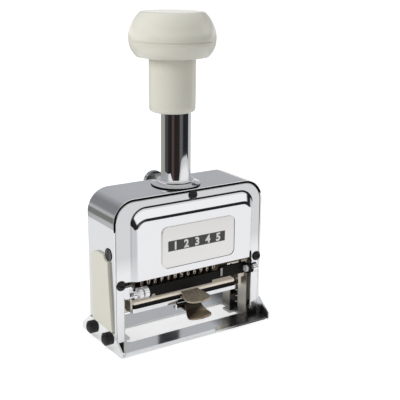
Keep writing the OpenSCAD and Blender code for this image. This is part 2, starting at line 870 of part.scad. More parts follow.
module tab_upper() {
  foot_z = holder_z + 0.1;
  riser_y = -11.7;
  leaf_z = 21.9;
  slope = 10.5;
  color([0.62, 0.57, 0.47]) {
    intersection() {
      linear_extrude(30) leaf_outline(tab_cx, riser_y + leaf_t, 5, 6.9, tab_front);
      translate([-10, riser_y + leaf_t, leaf_z]) rotate([slope, 0, 0]) {
        translate([0, -14, -leaf_t]) cube([24, 14, leaf_t]);
      }
    }
    translate([tab_cx - 4, riser_y, foot_z]) cube([8, leaf_t, leaf_z - foot_z - 0.2]);
    translate([tab_cx - 4, riser_y, foot_z]) cube([8, 7, leaf_t]);
  }
}

module tab_pin() {
  color([0.75, 0.75, 0.77]) rod_x_axis(tab_cx - 6.6, tab_cx + 6.6, tab_pin_y, tab_pin_z, 1.2);
}

module tab_lower() {
  neck_y = -13;
  color([0.62, 0.57, 0.47]) difference() {
    union() {
      intersection() {
        linear_extrude(30) leaf_outline(low_cx, neck_y + 0.9, 4.6, 6.6, low_front);
        sideways(-10, 24) polygon([
          [neck_y, 15.6], [neck_y - 1.6, 13.2], [neck_y - 4, 10.9], [low_front - 1, 9.9],
          [low_front - 1, 9.1], [neck_y - 3.7, 10.1], [neck_y - 1, 12.6], [neck_y + 0.8, 15.6]
        ]);
      }
      rod_x_axis(tab_cx - 5.2, tab_cx + 5.2, tab_pin_y, tab_pin_z, 2.4);
      translate([low_cx - 4, neck_y - 1.9, tab_pin_z - 1.1]) cube([8, tab_pin_y - neck_y + 1.9, leaf_t]);
    }
    rod_x_axis(-8, 9, tab_pin_y, tab_pin_z, 1.3);
  }
}

// ---------- lock ----------

module lock_button() {
  rim = 1;
  color([0.85, 0.85, 0.87]) translate([lock_x, lock_y1, lock_z]) rotate([-90, 0, 0]) {
    translate([0, 0, -rim]) cylinder(d = lock_d - 1, h = rim);
    translate([0, 0, -lock_grip]) cylinder(d = lock_d, h = lock_grip - rim);
  }
}

module lock_pin() {
  pin_tip = 8.3 + lock_travel;
  color([0.75, 0.75, 0.77]) translate([lock_x, pin_tip, lock_z]) rotate([-90, 0, 0]) {
    cylinder(d = lock_pin_d, h = lock_y1 - lock_grip - pin_tip);
  }
}

shell();
front_cover();
rear_cover();
label_plate();
base_plate();
side_cover();
shaft_collar();
guide_plate_left();
guide_plate_right();
spring_rods();
cover_screws();
side_screws();
base_screws();
lock_housing();
knob_cap();
knob_skirt();
plunger_shaft();
bridge();
cheeks();
wheel_axle();
axle_sleeves();
tie_rod();
guide_shoes();
detent_comb();
pawl_rod();
return_spring_left();
return_spring_right();
wheel_01();
wheel_02();
wheel_03();
wheel_04();
wheel_05();
wheel_06();
wheel_07();
wheel_08();
wheel_09();
wheel_10();
wheel_11();
wheel_12();
repeat_dial();
feed_pawl();
carrier_bar();
carrier_arms();
pivot_collar();
pivot_screw();
pointer();
ink_tray();
felt_holder();
ink_felt();
tab_upper();
tab_pin();
tab_lower();
lock_button();
lock_pin();
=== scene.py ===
import json
import math

import bmesh
import bpy
from mathutils import Matrix, Vector


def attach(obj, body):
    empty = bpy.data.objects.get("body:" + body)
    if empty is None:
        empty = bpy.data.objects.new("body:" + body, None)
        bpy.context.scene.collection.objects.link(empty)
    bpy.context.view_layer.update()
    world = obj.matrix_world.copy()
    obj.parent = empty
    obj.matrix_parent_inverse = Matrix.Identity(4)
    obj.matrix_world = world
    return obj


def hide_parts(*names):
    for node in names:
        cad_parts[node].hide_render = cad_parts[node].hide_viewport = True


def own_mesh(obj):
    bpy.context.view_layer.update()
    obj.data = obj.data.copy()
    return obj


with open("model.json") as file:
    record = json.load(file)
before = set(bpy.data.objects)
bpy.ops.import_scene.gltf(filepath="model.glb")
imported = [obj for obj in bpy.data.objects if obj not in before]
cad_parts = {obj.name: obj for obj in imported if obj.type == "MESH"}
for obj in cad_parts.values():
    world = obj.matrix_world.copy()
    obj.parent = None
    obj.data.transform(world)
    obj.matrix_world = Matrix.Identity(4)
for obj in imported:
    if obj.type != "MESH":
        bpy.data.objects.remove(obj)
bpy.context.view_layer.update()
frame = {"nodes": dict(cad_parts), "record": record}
nodes = frame["nodes"]
BODY_OF = {n: b for b, names in frame["record"]["behaviour"]["bodies"].items() for n in names}
SLOT_OF = {s["node"]: s["material_slot"] for s in frame["record"]["subparts"]}

MM = 0.001  # a millimetre, in metres

# Places on the part, in millimetres. The rear cover mirrors the front cover.
KNOB_X = -3.0  # the knob's axis
SHAFT_X = -1.0  # the axis of the shaft, its collar and the lock button
SPRING_X = 38.9  # the two return springs, left and right
AXLE_Z = 30.0  # the axle of the number wheels
WHEEL_X, WHEEL_PITCH, WHEEL_R = -25.7, 3.75, 8.5  # the first wheel, the next ones, and their ground
SHEET_Y, PANEL_Y = -12.9, -14.8  # the outer face of the front cover, and of its raised panel
RIM_Y = 12.6  # the shell's rims begin this far to the front and to the rear
SHOULDER_X, SHOULDER_Z = 31.1, 62.6  # the centres of the shell's rounded shoulders
GROOVE_X = -27.65  # the groove of the left nut
FELT_BLACK_Z = 19.4  # the felt is black below this height

GENERATED, OBJECT = 0, 3  # outputs of the Texture Coordinate node


# ---------------------------------------------------------------- shader maths

class Val:
    """A number or colour that travels along a node tree, with operators that add Math nodes."""

    def __init__(self, tree, socket):
        self.tree, self.socket = tree, socket

    def _math(self, operation, a, b=None, clamp=False):
        node = self.tree.tree.nodes.new("ShaderNodeMath")
        node.operation = operation
        node.use_clamp = clamp
        for i, v in enumerate((a, b)):
            if v is not None:
                self.tree.feed(node.inputs[i], v)
        return Val(self.tree, node.outputs[0])

    def __add__(self, o): return self._math("ADD", self, o)
    def __sub__(self, o): return self._math("SUBTRACT", self, o)
    def __rsub__(self, o): return self._math("SUBTRACT", o, self)
    def __mul__(self, o): return self._math("MULTIPLY", self, o)
    def __truediv__(self, o): return self._math("DIVIDE", self, o)
    def __lt__(self, o): return self._math("LESS_THAN", self, o)
    def __gt__(self, o): return self._math("GREATER_THAN", self, o)
    def high(self, o): return self._math("MAXIMUM", self, o)
    def clip(self): return self._math("ADD", self, 0.0, clamp=True)
    def size(self): return self._math("ABSOLUTE", self)
    def root(self): return self._math("SQRT", self)


class Finish:
    """A material with short ways to add its nodes."""

    def __init__(self, name):
        self.material = bpy.data.materials.new(name)
        self.material.use_nodes = True
        self.tree = self.material.node_tree
        self.tree.nodes.clear()
        self.out = self.tree.nodes.new("ShaderNodeOutputMaterial")

    def feed(self, socket, value):
        """Links a Val to the socket, or sets a plain value on it."""
        if isinstance(value, Val):
            self.tree.links.new(value.socket, socket)
        elif socket.type == "RGBA" and len(value) == 3:
            socket.default_value = (*value, 1)
        else:
            socket.default_value = value

    def add(self, kind, settings=None, out=0, **values):
        """A node whose inputs are fed by name, or by number as i0, i1 and so on."""
        node = self.tree.nodes.new("ShaderNode" + kind)
        for key, value in (settings or {}).items():
            setattr(node, key, value)
        for key, value in values.items():
            named = key.replace("_", " ")
            self.feed(node.inputs[named if named in node.inputs else int(key[1:])], value)
        return Val(self, node.outputs[out])

    def split(self, point):
        """The three parts of a vector."""
        parts = self.tree.nodes.new("ShaderNodeSeparateXYZ")
        self.feed(parts.inputs[0], point)
        return [Val(self, parts.outputs[i]) for i in range(3)]

    def place(self):
        """The point on the piece, in millimetres, as a vector and its three parts."""
        metres = self.add("TexCoord", out=OBJECT)
        point = self.add("VectorMath", {"operation": "MULTIPLY"}, i0=metres, i1=(1000, 1000, 1000))
        return point, self.split(point)

    def rays(self, *kinds):
        """One for a ray of the kind and zero for others, for each kind named."""
        path = self.tree.nodes.new("ShaderNodeLightPath")
        return [Val(self, path.outputs["Is %s Ray" % kind]) for kind in kinds]

    def ramp(self, factor, stops):
        """Colours along a factor, from (place, colour) pairs. A plain number is a grey."""
        node = self.tree.nodes.new("ShaderNodeValToRGB")
        points = node.color_ramp.elements
        while len(points) < len(stops):
            points.new(0.5)
        for point, (place, shade) in zip(points, stops):
            point.position = place
            point.color = (*shade, 1) if isinstance(shade, tuple) else (shade, shade, shade, 1)
        self.feed(node.inputs[0], factor)
        return Val(self, node.outputs[0])

    def noise(self, point, scale, detail=3, rough=0.5, stretch=None):
        if stretch:
            point = self.add("VectorMath", {"operation": "MULTIPLY"}, i0=point, i1=stretch)
        return self.add("TexNoise", Vector=point, Scale=scale, Detail=detail, Roughness=rough)

    def mix(self, factor, a, b):
        """From colour a to colour b. The Mix node keeps its colours on sockets 6 and 7, and gives one on 2."""
        return self.add("Mix", {"data_type": "RGBA"}, 2, i0=factor, i6=a, i7=b)

    def bump(self, height, strength, distance):
        return self.add("Bump", Height=height, Strength=strength, Distance=distance)

    def done(self, **values):
        """Closes the material with a Principled shader."""
        self.feed(self.out.inputs[0], self.add("BsdfPrincipled", **values))
        return self.material


def dimmed(tint, share):
    return tuple(c * share for c in tint)


# ---------------------------------------------------------------- where the plate is rougher, or darker with painted shade and painted reflections

def from_shoulder(x, z):
    """The distance from the centre of the rounded shoulder, for points up there."""
    side = (x.size() - SHOULDER_X).high(0.0)
    rise = (z - SHOULDER_Z).high(0.0)
    return (side * side + rise * rise).root()


def inside_walls(x, y, z):
    """The inner faces of the shell, above the base's sheet, where the plate gets painted shade and a rougher
    finish.
    """
    inner_r, base_top = 10.5, 1.3
    return (from_shoulder(x, z) < inner_r) * (z > base_top) * (y.size() < RIM_Y)


def shell_rim(x, y, z):
    """Painted shade in the seam: the shell's narrow rim from the shoulders up, which starts higher on the
    right.
    """
    outer_r, lowest, right_more = 10.72, 59, 7
    return (from_shoulder(x, z) < outer_r) * (y.size() > RIM_Y) * (z > (x > 0) * right_more + lowest)


def left_wall(x, y, z, cloud):
    """Painted reflection: the left wall is a little greyer, and the corner above it much greyer."""
    face_x, face_share = 41.9, 0.3
    corner_x, corner_wide, corner_z = 36, 3, 60.5
    keep, blur = 0.5, 0.14
    face = ((x * -1 - face_x) / 0.1).clip() * face_share
    corner = ((x * -1 - corner_x) / corner_wide).clip() * (z > corner_z)
    return face.high(corner), keep, blur


def cover_band(x, y, z, cloud):
    """Painted reflection: the flat band round the raised panel is greyer, except low down."""
    front, low, fade = 13.25, 38, 8
    keep, blur = 0.77, 0.06
    return (y.size() < front) * ((z - low) / fade).clip(), keep, blur


def base_shade(x, y, z, cloud):
    """Painted reflection: the right end of the base is darker, and rougher, more of it in front than behind,
    and low on the flange.
    """
    front_start, rear_more, rear_y = 15, 13, -10
    fade, ragged = 12, 6
    flange_x, low_z = 41, 6.5
    keep, blur = 0.16, 0.3
    start = (y > rear_y) * rear_more + front_start
    along = ((x - start + cloud * ragged) / fade).clip()
    low = ((low_z - z) / 2).clip()
    return along * low.high(x < flange_x), keep, blur


def behind_cover(x, y, z):
    """The inner face of a cover, where the plate gets painted shade and a rougher finish."""
    back, base_top = 12.4, 2.0
    return (y.size() < back) * (z > base_top)


def cover_joint(x, y, z):
    """Painted shade in the seam: the rim of a cover, where it meets the shell, from the shoulders up."""
    rim_r, lowest, right_more = 9.6, 60, 6
    return (from_shoulder(x, z) > rim_r) * (z > (x > 0) * right_more + lowest)


def collar_joint(x, y, z):
    """Painted shade: the line round the collar's foot, and a fainter one at the step under its lip."""
    foot_r, step_from, step_to, step_share = 11.9, 9.1, 9.35, 0.6
    aside = x - SHAFT_X
    reach = (aside * aside + y * y).root()
    return (reach > foot_r).high((reach > step_from) * (reach < step_to) * step_share)


# ---------------------------------------------------------------- materials

def chrome(name, tint, rough, haze=0.04, unpolished_and_shaded=None, joint_shade=None, greyer=None):
    """Bright plate. The tests say where it is rougher with painted shade, where a joint gets painted shade, and
    where it is greyer with a painted reflection.
    """
    inner_shade_dark, inner_shade_light, dull_rough = (0.16, 0.145, 0.12), (0.24, 0.22, 0.185), 0.42
    seam_shade_tint, seam_rough = (0.012, 0.012, 0.013), 0.6
    f = Finish(name)
    point, (x, y, z) = f.place()
    cloud = f.noise(point, 0.06, 4, 0.6)
    fine = f.noise(point, 1.4, 5, 0.65)
    colour = f.mix(cloud, dimmed(tint, 0.96), tint)
    roughness = (cloud * haze + (rough - haze / 2)).clip()
    # Painted reflection: these places get a greyer colour, and more roughness.
    if greyer:
        painted_grey, keep, blur = greyer(x, y, z, cloud)
        colour = f.mix(painted_grey, colour, dimmed(tint, keep))
        roughness = roughness.high(painted_grey * blur)
    # Painted shade: inner faces get a dark colour, and a rougher finish.
    if unpolished_and_shaded:
        rough_and_shaded = unpolished_and_shaded(x, y, z)
        colour = f.mix(rough_and_shaded, colour, f.mix(cloud, inner_shade_dark, inner_shade_light))
        roughness = roughness.high(rough_and_shaded * dull_rough)
    # Painted shade along joints and seams: a near-black colour, and a rougher finish.
    if joint_shade:
        seam_shade = joint_shade(x, y, z)
        colour = f.mix(seam_shade, colour, seam_shade_tint)
        roughness = roughness.high(seam_shade * seam_rough)
    return f.done(Base_Color=colour, Metallic=1.0, Roughness=roughness, Normal=f.bump(fine, 0.03, 0.00002))


def satin_metal(name, tint, rough, grain=(1, 1, 14), depth=0.12, metal=1.0, dark=None, glow=0.0):
    """Metal with a streaky grain. The test dark says how much of the tint is kept at each point."""
    f = Finish(name)
    point, (x, y, z) = f.place()
    streak = f.noise(point, 0.7, 4, 0.6, grain)
    cloud = f.noise(point, 0.12, 3, 0.5)
    colour = f.mix(cloud, dimmed(tint, 0.82), tint)
    if dark:
        colour = f.mix(dark(x, y, z, streak), dimmed(tint, 0.12), colour)
    return f.done(
        Base_Color=colour,
        Metallic=metal,
        Emission_Color=colour,
        Emission_Strength=glow,
        Roughness=(streak * 0.12 + cloud * 0.08 + (rough - 0.1)).clip(),
        Normal=f.bump(streak, depth, 0.00003),
    )


def plastic(name, tint, shade, rough, coat=0.0, peel=0.05, shine=0.5, glow=0.0, black_below=None):
    """Plastic, paint or felt, cloudy between two tints. Below the height black_below it is black."""
    f = Finish(name)
    point, (_, _, z) = f.place()
    cloud = f.noise(point, 0.05, 3, 0.5)
    fine = f.noise(point, 0.9, 4, 0.6)
    colour = f.mix(cloud, shade, tint)
    if black_below:
        colour = f.mix(z > black_below, (0.012, 0.01, 0.01), colour)
    return f.done(
        Base_Color=colour,
        Roughness=(fine * 0.05 + (rough - 0.025)).clip(),
        Coat_Weight=coat,
        Specular_IOR_Level=shine,
        Emission_Color=colour,
        Emission_Strength=glow,
        Coat_Roughness=0.08,
        Normal=f.bump(fine, peel, 0.00004),
    )


# Painted shade in the nut's groove: the tint is kept outside the groove and dimmed inside it.
def nut_groove_shade(x, y, z, streak):
    half_width = 0.43
    return (x - GROOVE_X).size() > half_width


def brushed_leaf(x, y, z, streak):
    return ((streak - 0.32) * 3.2).clip() * 0.6 + 0.4


def leaf_in_shade(x, y, z, streak):
    """Painted shade: the lower leaf is dark near its root and on the left."""
    return ((y * -1 - 16.2) / 3 + (x - 1) / 7 + streak * 0.3).clip()


SHEET_TINT, BRIGHT_TINT, LEAF_GRAIN = (0.86, 0.87, 0.885), (0.88, 0.885, 0.9), (3, 0.4, 1)

CHROME = chrome("chrome_sheet", SHEET_TINT, 0.07)
CHROME_SHELL = chrome("chrome_shell", SHEET_TINT, 0.07, 0.04, inside_walls, shell_rim, left_wall)
CHROME_COVER = chrome("chrome_cover", BRIGHT_TINT, 0.05, 0.04, behind_cover, cover_joint, cover_band)
CHROME_BASE = chrome("chrome_base", (0.88, 0.89, 0.9), 0.045, 0.05, greyer=base_shade)
CHROME_COLLAR = chrome("chrome_collar", BRIGHT_TINT, 0.05, joint_shade=collar_joint)
CHROME_DARK = chrome("chrome_knurl", (0.5, 0.5, 0.51), 0.12)
CHROME_ROD = chrome("chrome_shaft", (0.84, 0.84, 0.85), 0.035, 0.02)
NICKEL = satin_metal("nickel_guide", (0.66, 0.62, 0.55), 0.3)
# Painted light: the nut glows a little, and its groove is darkened as painted shade.
NUT = satin_metal("bright_nut", (0.9, 0.9, 0.91), 0.22, depth=0.01, metal=0.8, glow=0.16, dark=nut_groove_shade)
LEAF_TOP = satin_metal("nickel_tab", (0.72, 0.62, 0.48), 0.36, LEAF_GRAIN, 0.1, 0.55, brushed_leaf)
# Painted shade: the lower leaf's finish is a darker copy of the upper leaf's.
LEAF_LOW = satin_metal("nickel_tab_low", (0.4, 0.32, 0.22), 0.3, LEAF_GRAIN, 0.1, 0.6, leaf_in_shade)
STEEL = satin_metal("plain_steel", (0.36, 0.35, 0.34), 0.34)
SPRING = satin_metal("spring_steel", (0.6, 0.6, 0.61), 0.25)
BRASS = satin_metal("brass_dial", (0.36, 0.3, 0.2), 0.38)
TYPE = satin_metal("type_metal", (0.12, 0.095, 0.08), 0.45)
LABEL = chrome("label_sheet", (0.9, 0.89, 0.87), 0.32)
IVORY = plastic("ivory_knob", (0.74, 0.73, 0.635), (0.71, 0.695, 0.6), 0.2, 0.4)
CREAM = plastic("cream_enamel", (0.66, 0.645, 0.555), (0.63, 0.615, 0.53), 0.35, 0.1)
BLACK = plastic("matte_black", (0.007, 0.006, 0.006), (0.01, 0.009, 0.008), 0.55, 0.0, 0.2, 0.15)
SCREW_BLACK = plastic("black_oxide", (0.004, 0.004, 0.005), (0.009, 0.008, 0.008), 0.16, 0.0, 0.3, 0.36)
STRIP = plastic("label_dark", (0.055, 0.057, 0.055), (0.065, 0.066, 0.064), 0.5)
NUMERAL = plastic("label_pale", (0.95, 0.94, 0.92), (0.92, 0.91, 0.89), 0.5)
TYPE_FACE = satin_metal("type_face", (0.8, 0.7, 0.6), 0.5, metal=0.5)
# Painted light: the felt glows a little.
FELT = plastic("ink_felt", (0.97, 0.88, 0.76), (0.93, 0.83, 0.7), 0.95, 0.0, 0.9, glow=0.25,
               black_below=FELT_BLACK_Z)

LOOK = {
    "chrome": CHROME, "ivory": IVORY, "cream": CREAM, "label": LABEL, "black_screw": SCREW_BLACK,
    "black": BLACK, "type_metal": TYPE, "felt": FELT, "nickel": NICKEL, "brass": BRASS, "steel": STEEL,
}


def dress(node, material):
    data = nodes[node].data
    data.materials.clear()
    data.materials.append(material)


for name in nodes:
    dress(name, LOOK[SLOT_OF[name]])
dress("plunger_shaft", CHROME_ROD)
for name in ("pivot_collar", "pivot_screw"):
    dress(name, NUT)
# Painted shade: the felt holder is black all over, so the line under the felt stays dark.
dress("felt_holder", BLACK)


# ---------------------------------------------------------------- making pieces, in millimetres

def shown(name, data):
    """A new object, linked to the scene."""
    thing = bpy.data.objects.new(name, data)
    bpy.context.scene.collection.objects.link(thing)
    return thing


def made(name, bm, material, body, instead=(), smooth=35):
    """A piece from a bmesh. It rides on a body, and stands for the CAD nodes named."""
    bmesh.ops.scale(bm, vec=(MM, MM, MM), verts=bm.verts)
    bmesh.ops.recalc_face_normals(bm, faces=bm.faces)
    mesh = bpy.data.meshes.new(name)
    bm.to_mesh(mesh)
    bm.free()
    for face in mesh.polygons:
        face.use_smooth = True
    mesh.set_sharp_from_angle(angle=math.radians(smooth))
    mesh.materials.append(material)
    piece = shown(name, mesh)
    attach(piece, body)
    if instead:
        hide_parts(*instead)
    return piece


def solid_of(node):
    """A CAD node's shape as a bmesh."""
    bm = bmesh.new()
    bm.from_mesh(nodes[node].data)
    bmesh.ops.scale(bm, vec=(1 / MM, 1 / MM, 1 / MM), verts=bm.verts)
    return bm


def solid_from(curve):
    """The surface of a curve or of characters as a bmesh. The object made for it doesn't stay."""
    holder = shown(curve.name, curve)
    bpy.context.view_layer.update()
    graph = bpy.context.evaluated_depsgraph_get()
    mesh = bpy.data.meshes.new_from_object(holder.evaluated_get(graph))
    bm = bmesh.new()
    bm.from_mesh(mesh)
    bpy.data.objects.remove(holder)
    bpy.data.meshes.remove(mesh)
    return bm


def rounded(bm, edges, width, segments, clamp=True):
    bmesh.ops.bevel(bm, geom=edges, offset=width, offset_type="OFFSET", segments=segments, profile=0.5,
                    affect="EDGES", clamp_overlap=clamp, material=-1)


def put(bm, verts, degrees, axis, at):
    """Turns the points about an axis through the origin, then moves them."""
    turn = Matrix.Rotation(math.radians(degrees), 3, axis)
    bmesh.ops.rotate(bm, cent=(0, 0, 0), matrix=turn, verts=verts)
    bmesh.ops.translate(bm, vec=at, verts=verts)


def refined(node, material, rounds, least=24, clamp=True, reach=0.0):
    """The CAD node's shape with its edges rounded: rounds is a list of (width, segments, test).

    Edges that turn by less than least degrees stay as they are. With reach, the right edge goes that
    much further, into the wall beside it."""
    right_x, top_z = 40.7, 61
    bm = solid_of(node)
    bmesh.ops.remove_doubles(bm, verts=bm.verts, dist=0.002)
    bmesh.ops.dissolve_limit(bm, angle_limit=math.radians(0.6), verts=bm.verts, edges=bm.edges)
    if reach:
        right = [v for v in bm.verts if v.co.x > right_x and v.co.z < top_z]
        bmesh.ops.translate(bm, vec=(reach, 0, 0), verts=right)
    for width, segments, test in rounds:
        edges = [e for e in bm.edges if len(e.link_faces) == 2
                 and e.calc_face_angle(0) > math.radians(least) and test(e)]
        rounded(bm, edges, width, segments, clamp)
    piece = made(node + "_form", bm, material, BODY_OF[node], (node,))
    even = piece.modifiers.new("even_shading", "WEIGHTED_NORMAL")
    even.keep_sharp = True
    even.weight = 100


def spun(name, profile, x, material, body, node):
    """A profile of (radius, height) points, turned about the upright axis at x."""
    bm = bmesh.new()
    verts = [bm.verts.new((r, 0, h)) for r, h in profile]
    edges = [bm.edges.new(pair) for pair in zip(verts, verts[1:])]
    bmesh.ops.spin(bm, geom=verts + edges, cent=(0, 0, 0), axis=(0, 0, 1), angle=math.tau, steps=96,
                   use_merge=True)
    bmesh.ops.remove_doubles(bm, verts=bm.verts, dist=0.0005)
    bmesh.ops.translate(bm, vec=(x, 0, 0), verts=bm.verts)
    made(name, bm, material, body, (node,), 28)


def arc(cx, cz, r, start, end, count):
    """Points on an arc, in degrees."""
    turns = [math.radians(start + (end - start) * i / count) for i in range(count + 1)]
    return [(cx + r * math.cos(a), cz + r * math.sin(a)) for a in turns]


def block(bm, low, high, round_by=0.0):
    """A box between two corners, with rounded edges."""
    verts = bmesh.ops.create_cube(bm, size=1)["verts"]
    bmesh.ops.scale(bm, vec=[b - a for a, b in zip(low, high)], verts=verts)
    bmesh.ops.translate(bm, vec=[(b + a) / 2 for a, b in zip(low, high)], verts=verts)
    if round_by:
        rounded(bm, list({e for v in verts for e in v.link_edges}), round_by, 2)


def glyph(text, size, depth, weight):
    """Raised characters in the XY plane, centred, standing up along Z from zero."""
    curve = bpy.data.curves.new("glyph", "FONT")
    curve.body = text
    curve.size = size
    curve.align_x = "CENTER"
    curve.align_y = "CENTER"
    curve.offset = weight
    curve.extrude = depth / 2
    curve.resolution_u = 3
    bm = solid_from(curve)
    bmesh.ops.remove_doubles(bm, verts=bm.verts, dist=0.001)
    mid = [(min(v.co[i] for v in bm.verts) + max(v.co[i] for v in bm.verts)) / 2 for i in range(2)]
    bmesh.ops.translate(bm, vec=(-mid[0], -mid[1], depth / 2), verts=bm.verts)
    return bm


# ---------------------------------------------------------------- housing

def every(edge):
    return True


def all_points(edge, test):
    return all(test(v.co) for v in edge.verts)


def near_plane(y, low=0, high=180):
    """A test for edges in a plane that faces the front or the back, by the angle of their faces.

    The edges at the ears and at the right rim stay sharp."""
    def test(edge):
        at_ears = all_points(edge, lambda p: abs(p.x) < 39.2 and 24 < p.z < 32.5)
        right_rim = all_points(edge, lambda p: p.x > 40.5 and p.z < 60)
        in_plane = all_points(edge, lambda p: abs(p.y - y) < 0.05) and edge.calc_length() > 0.3
        return in_plane and not at_ears and not right_rim and low < math.degrees(edge.calc_face_angle(0)) < high

    return test


def off_right_wall(edge):
    return not all_points(edge, lambda p: p.x > 41 and p.z < 60)


def outer_left(edge):
    return any(v.co.x < -43.0 for v in edge.verts)


def felt_top(edge):
    return all_points(edge, lambda p: p.z > 20.7)


refined("shell", CHROME_SHELL, [(0.28, 2, off_right_wall)])
for node, side in (("front_cover", 1), ("rear_cover", -1)):
    refined(node, CHROME_COVER, [
        (1.05, 6, near_plane(PANEL_Y * side, 10, 60)),
        (0.65, 5, near_plane(SHEET_Y * side, 10, 60)),
        (0.5, 4, near_plane(SHEET_Y * side, 60)),
    ], least=10, clamp=False, reach=0.35)
refined("base_plate", CHROME_BASE, [(0.22, 2, every)])
refined("side_cover", CREAM, [(0.45, 4, outer_left)])
refined("label_plate", LABEL, [(0.16, 2, every)])
refined("ink_felt", FELT, [(0.5, 4, felt_top)])


def label_numerals():
    """Plain pale numerals on the dark strip of the label."""
    front, back = PANEL_Y - 0.66, PANEL_Y - 0.6
    left, right, low, high = -14.5, 17.9, 45.7, 50.8
    first, pitch, mid_z = -10.5, 6.1, 48.25
    strip = bmesh.new()
    block(strip, (left, front, low), (right, back, high))
    made("label_strip", strip, STRIP, "frame")
    for i in range(5):
        bm = glyph("12345"[i], 5.4, 0.05, 0.22)
        put(bm, bm.verts, 90, "X", (first + pitch * i, front, mid_z))
        made("label_numeral_%d" % i, bm, NUMERAL, "frame")


label_numerals()


def label_shadow():
    """Painted shadow: a dark, thinner copy of the label, moved right and down, so a dark line shows on the
    right of the label and below it.
    """
    middle = Vector((2.9, -14.85, 47.7))
    bm = solid_of("label_plate")
    bmesh.ops.scale(bm, vec=(1.0, 0.25, 1.0), verts=bm.verts, space=Matrix.Translation(-middle))
    bmesh.ops.translate(bm, vec=(0.6, 0, -0.42), verts=bm.verts)
    made("label_shadow", bm, SCREW_BLACK, "frame")


label_shadow()


# ---------------------------------------------------------------- knob, collar and button

def knob():
    """The mushroom cap, with a fine groove under its widest part, and the sleeve below it."""
    under, mid, top, r = 134.9, 142.9, 155.2, 20.4
    low_r, up_r, edge_r = 10.8, 16.2, 2.4
    bore_r = 7.3
    edge_z = top - edge_r
    edge_x = r - up_r + math.sqrt((up_r - edge_r) ** 2 - (edge_z - mid) ** 2)
    start = -math.degrees(math.asin((mid - under) / low_r))
    lean = math.degrees(math.asin((edge_z - mid) / (up_r - edge_r)))
    low = arc(r - low_r, mid, low_r, start, 0, 14)
    groove_z = under + 7.45
    below = [p for p in low if p[1] < groove_z - 0.3]
    above = [p for p in low if p[1] > groove_z + 0.35]
    rim = r - low_r + math.sqrt(low_r ** 2 - (mid - groove_z) ** 2)
    groove = [(rim - 0.04, groove_z - 0.3), (rim - 0.32, groove_z - 0.15), (rim - 0.36, groove_z + 0.1),
              (rim, groove_z + 0.24)]
    bowl = arc(r - up_r, mid, up_r, 0, lean, 22)
    edge = arc(edge_x, edge_z, edge_r, lean, 90, 8)
    crown = [(edge_x * 0.9, top), (edge_x * 0.5, top), (0, top)]
    bottom = [(bore_r, under), (below[0][0] - 0.5, under)]
    profile = bottom + below + groove + above + bowl[1:] + edge[1:] + crown
    spun("knob_cap_form", profile, KNOB_X, IVORY, "plunger", "knob_cap")

    s, foot, foot_r, skirt_bore_r = 22.1 / 2, 109.2, 1.7, 7.6
    skirt = ([(skirt_bore_r, foot), (s - 1.8, foot)] + arc(s - 1.8, foot + foot_r, foot_r, -90, -12, 7)
             + [(s - 0.06, 113), (s, 118), (s, 130), (s, 134.6), (s + 0.5, under)])
    spun("knob_skirt_form", skirt, KNOB_X, IVORY, "plunger", "knob_skirt")


knob()


def collar():
    """The turned collar that the shaft slides in."""
    bore_r, neck_r, foot_r = 7.26, 7.96, 12
    bottom, shell_top, top = 69.6, 73.6, 76.5
    profile = ([(bore_r, bottom), (neck_r, bottom), (neck_r, shell_top), (foot_r, shell_top), (foot_r, 73.9)]
               + arc(11.6, 73.95, 0.4, 0, 75, 5) + [(10.6, 74.5), (9.6, 74.8)]
               + arc(9.2, 75.2, 0.5, -50, -150, 5) + arc(8.3, 75.9, 0.6, -10, 90, 7)
               + [(bore_r, top), (bore_r, bottom)])
    spun("shaft_collar_form", profile, SHAFT_X, CHROME_COLLAR, "frame", "shaft_collar")


collar()


def lock_button():
    """The knurled disc behind the collar."""
    valley_r, ridge_r, points, thick = 5.35, 5.6, 72, 2.4
    centre = (SHAFT_X, 19.7, 70.0)
    bm = bmesh.new()
    ring = bmesh.ops.create_circle(bm, cap_ends=True, radius=valley_r, segments=points)["verts"]
    for v in ring[1::2]:
        v.co *= ridge_r / valley_r
    out = bmesh.ops.extrude_face_region(bm, geom=bm.faces[:])["geom"]
    bmesh.ops.translate(bm, vec=(0, 0, thick), verts=[g for g in out if isinstance(g, bmesh.types.BMVert)])
    top = max(bm.faces, key=lambda f: f.calc_center_median().z)
    bmesh.ops.inset_region(bm, faces=[top], thickness=0.7, depth=0.6)
    put(bm, bm.verts, -90, "X", centre)
    made("lock_button_form", bm, CHROME_DARK, "lock", ("lock_button",), 20)


lock_button()


# ---------------------------------------------------------------- springs

def return_spring(side, x):
    """A wire coil that the plunger squeezes."""
    steps, turns, r, low, high, wire = 16, 12, 1.7, 1.6, 41.6, 0.4
    curve = bpy.data.curves.new("spring", "CURVE")
    curve.dimensions = "3D"
    curve.bevel_depth = wire
    curve.bevel_resolution = 2
    line = curve.splines.new("POLY")
    line.points.add(steps * turns)
    for i, point in enumerate(line.points):
        a = math.tau * i / steps
        point.co = (x + r * math.cos(a), r * math.sin(a), low + (high - low) * i / (steps * turns), 1)
    bm = solid_from(curve)
    piece = made("spring_coil_" + side, bm, SPRING, "frame", ("return_spring_" + side,), 60)
    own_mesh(piece)


return_spring("left", -SPRING_X)
return_spring("right", SPRING_X)


# ---------------------------------------------------------------- number wheels

